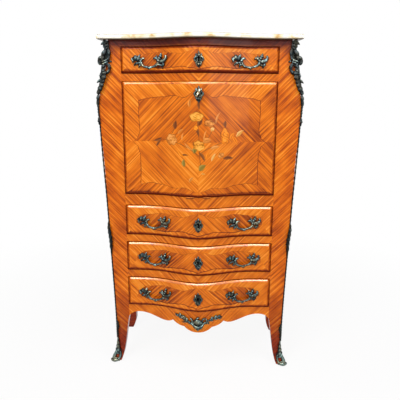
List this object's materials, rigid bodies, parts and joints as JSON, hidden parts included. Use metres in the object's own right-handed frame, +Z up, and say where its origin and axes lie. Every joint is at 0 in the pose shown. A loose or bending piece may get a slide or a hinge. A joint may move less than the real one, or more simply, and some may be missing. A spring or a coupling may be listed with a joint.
{
  "type": "escritoire",
  "caption": "Fall-front writing desk with a marble top, serpentine drawers above and below the fall, bronze mounts, curved legs and a fitted interior.",
  "frame": {"origin": "on the floor, under the middle of the desk's bounding box", "axes": "+Z up, +X to the viewer's right, +Y from the front to the wall"},
  "size_m": [0.7434, 0.403, 1.267],
  "materials": {
    "marble": "polished, veined",
    "front_veneer": "quartered veneer and marquetry, gloss varnish",
    "carcass_veneer": "diagonal veneer, gloss varnish",
    "oak": "planed, waxed",
    "interior_veneer": "satin varnish",
    "bronze": "cast, dark patina",
    "brass": "polished",
    "lock_steel": "filed",
    "leather": "tooled"
  },
  "bodies": {
    "carcass": {"marble_top": "marble", "top_board": "oak", "front_left_post": "carcass_veneer", "front_right_post": "carcass_veneer", "rear_posts": "carcass_veneer", "left_side_panel": "carcass_veneer", "right_side_panel": "carcass_veneer", "inner_linings": "oak", "back_panel": "oak", "top_rail": "carcass_veneer", "rail_over_fall": "carcass_veneer", "rail_under_fall": "carcass_veneer", "upper_rail": "carcass_veneer", "lower_rail": "carcass_veneer", "apron": "carcass_veneer", "dust_boards": "oak", "drawer_guides": "oak", "fall_fixed_hinge_leaves": "brass", "stay_guides": "brass", "left_corner_bronzes": "bronze", "right_corner_bronzes": "bronze", "sabots": "bronze", "apron_mount": "bronze", "pigeonhole_case": "interior_veneer"},
    "top_drawer": {"top_drawer_front": "front_veneer", "top_drawer_box": "oak", "top_drawer_handles": "bronze", "top_drawer_escutcheon": "bronze", "top_drawer_lock": "lock_steel"},
    "top_drawer_bolt": {"top_drawer_bolt": "lock_steel"},
    "upper_drawer": {"upper_drawer_front": "front_veneer", "upper_drawer_box": "oak", "upper_drawer_handles": "bronze", "upper_drawer_escutcheon": "bronze", "upper_drawer_lock": "lock_steel"},
    "upper_drawer_bolt": {"upper_drawer_bolt": "lock_steel"},
    "middle_drawer": {"middle_drawer_front": "front_veneer", "middle_drawer_box": "oak", "middle_drawer_handles": "bronze", "middle_drawer_escutcheon": "bronze", "middle_drawer_lock": "lock_steel"},
    "middle_drawer_bolt": {"middle_drawer_bolt": "lock_steel"},
    "lower_drawer": {"lower_drawer_front": "front_veneer", "lower_drawer_box": "oak", "lower_drawer_handles": "bronze", "lower_drawer_escutcheon": "bronze", "lower_drawer_lock": "lock_steel"},
    "lower_drawer_bolt": {"lower_drawer_bolt": "lock_steel"},
    "fall": {"fall_panel": "front_veneer", "writing_leather": "leather", "fall_escutcheon": "bronze", "fall_lock": "lock_steel", "fall_moving_hinge_leaves": "brass", "fall_stays": "brass"},
    "fall_bolt": {"fall_bolt": "lock_steel"},
    "fall_key": {"fall_key": "brass"},
    "left_small_drawer": {"left_small_drawer": "interior_veneer", "left_small_drawer_knob": "brass"},
    "right_small_drawer": {"right_small_drawer": "interior_veneer", "right_small_drawer_knob": "brass"}
  },
  "joints": [
    {"name": "top_drawer_slide", "type": "slide", "parent": "carcass", "child": "top_drawer", "axis": [0, -1, 0], "range_m": [0, 0.225]},
    {"name": "top_drawer_bolt_slide", "type": "slide", "parent": "top_drawer", "child": "top_drawer_bolt", "axis": [0, 0, 1], "range_m": [0, 0.008]},
    {"name": "upper_drawer_slide", "type": "slide", "parent": "carcass", "child": "upper_drawer", "axis": [0, -1, 0], "range_m": [0, 0.225]},
    {"name": "upper_drawer_bolt_slide", "type": "slide", "parent": "upper_drawer", "child": "upper_drawer_bolt", "axis": [0, 0, 1], "range_m": [0, 0.008]},
    {"name": "middle_drawer_slide", "type": "slide", "parent": "carcass", "child": "middle_drawer", "axis": [0, -1, 0], "range_m": [0, 0.225]},
    {"name": "middle_drawer_bolt_slide", "type": "slide", "parent": "middle_drawer", "child": "middle_drawer_bolt", "axis": [0, 0, 1], "range_m": [0, 0.008]},
    {"name": "lower_drawer_slide", "type": "slide", "parent": "carcass", "child": "lower_drawer", "axis": [0, -1, 0], "range_m": [0, 0.225]},
    {"name": "lower_drawer_bolt_slide", "type": "slide", "parent": "lower_drawer", "child": "lower_drawer_bolt", "axis": [0, 0, 1], "range_m": [0, 0.008]},
    {"name": "fall_hinge", "type": "hinge", "parent": "carcass", "child": "fall", "pos_m": [0, -0.1525, 0.7], "axis": [1, 0, 0], "range_deg": [0, 90]},
    {"name": "fall_key_turn", "type": "hinge", "parent": "fall", "child": "fall_key", "pos_m": [0, -0.2015, 1.0715], "axis": [0, 1, 0], "range_deg": [0, 180]},
    {"name": "fall_bolt_slide", "type": "slide", "parent": "fall", "child": "fall_bolt", "axis": [0, 0, 1], "range_m": [0, 0.012]},
    {"name": "left_small_drawer_slide", "type": "slide", "parent": "carcass", "child": "left_small_drawer", "axis": [0, -1, 0], "range_m": [0, 0.08]},
    {"name": "right_small_drawer_slide", "type": "slide", "parent": "carcass", "child": "right_small_drawer", "axis": [0, -1, 0], "range_m": [0, 0.08]}
  ],
  "couplings": [
    {"joint": "fall_key_turn", "follows": "fall_bolt_slide", "rad_per_m": 261.8}
  ]
}
